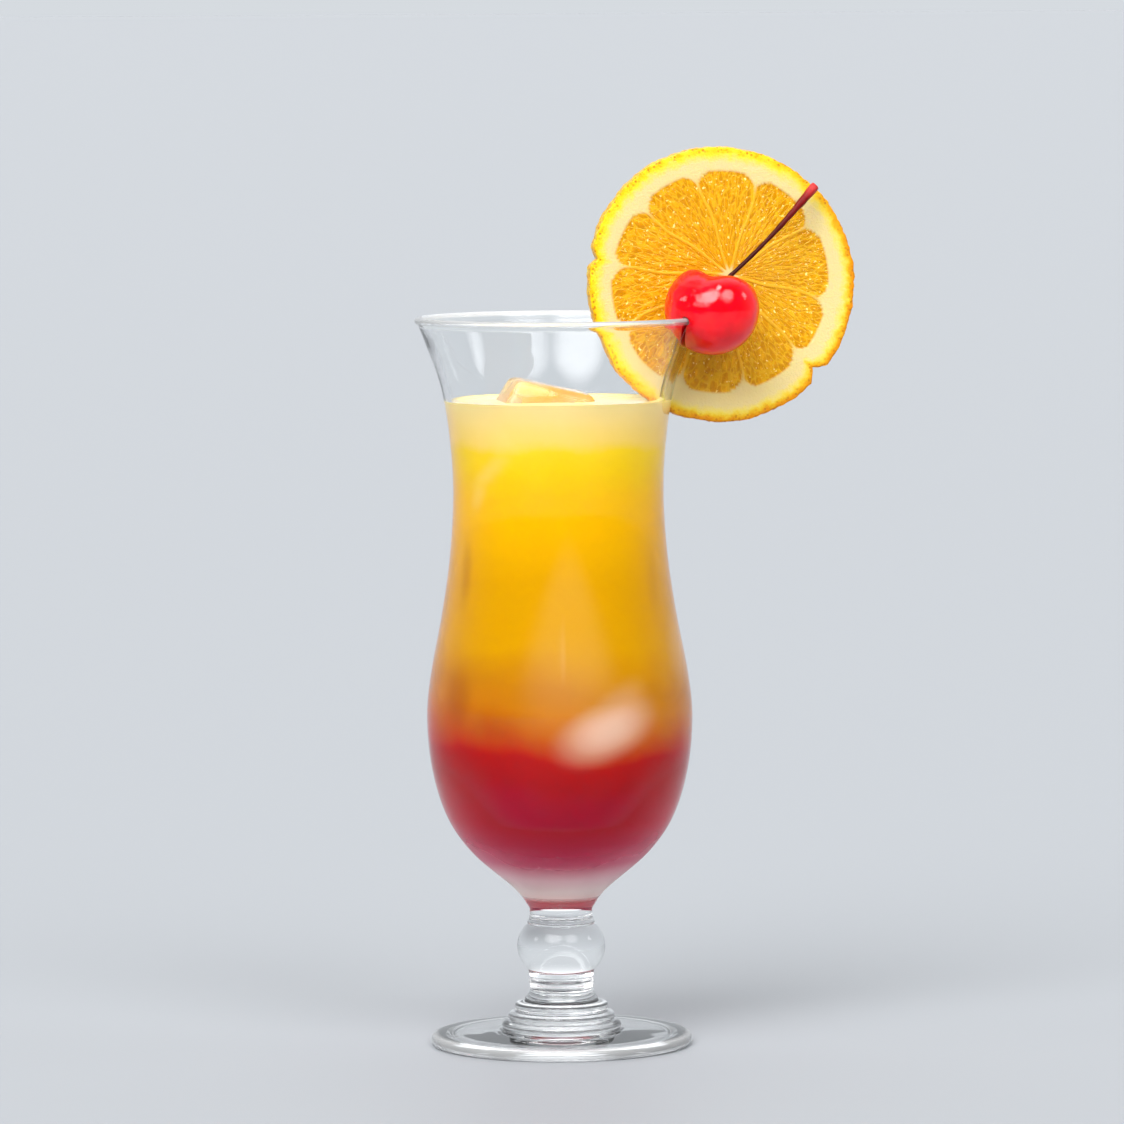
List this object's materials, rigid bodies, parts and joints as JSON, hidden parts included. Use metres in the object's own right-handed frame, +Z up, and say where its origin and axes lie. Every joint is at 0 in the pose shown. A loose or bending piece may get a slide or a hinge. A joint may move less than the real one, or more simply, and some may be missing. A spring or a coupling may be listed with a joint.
{
  "type": "tequila sunrise cocktail",
  "caption": "Tequila sunrise in a clear footed hurricane glass: red, orange and pale yellow layers, an ice cube at the surface, and an orange wheel and a cherry with its stalk on the rim",
  "frame": {"origin": "on the glass's axis, at the underside of its foot", "axes": "+Z up along the glass's axis, +X towards the side of the rim that carries the orange wheel and the cherry, -Y towards the viewer of the picture"},
  "size_m": [0.1236, 0.0798, 0.2514],
  "materials": {
    "glass": "clear pressed soda-lime glass, with a fine cold haze over the filled part",
    "grenadine": "wet, deep red, barely clear syrup",
    "orange_juice": "wet, cloudy juice, lit through",
    "pale_juice": "wet, pale cloudy juice",
    "ice": "clear melting ice, amber from the juice behind it",
    "orange": "cut orange, wet flesh, white pith and pored zest",
    "cherry": "wet, glossy, translucent red skin",
    "stalk": "dark red, slightly waxy stalk"
  },
  "bodies": {
    "root": {"glass": "glass", "grenadine": "grenadine", "orange_juice": "orange_juice", "pale_juice": "pale_juice", "ice_cube": "ice", "orange_wheel": "orange", "cherry": "cherry", "cherry_stalk": "stalk"}
  },
  "joints": []
}
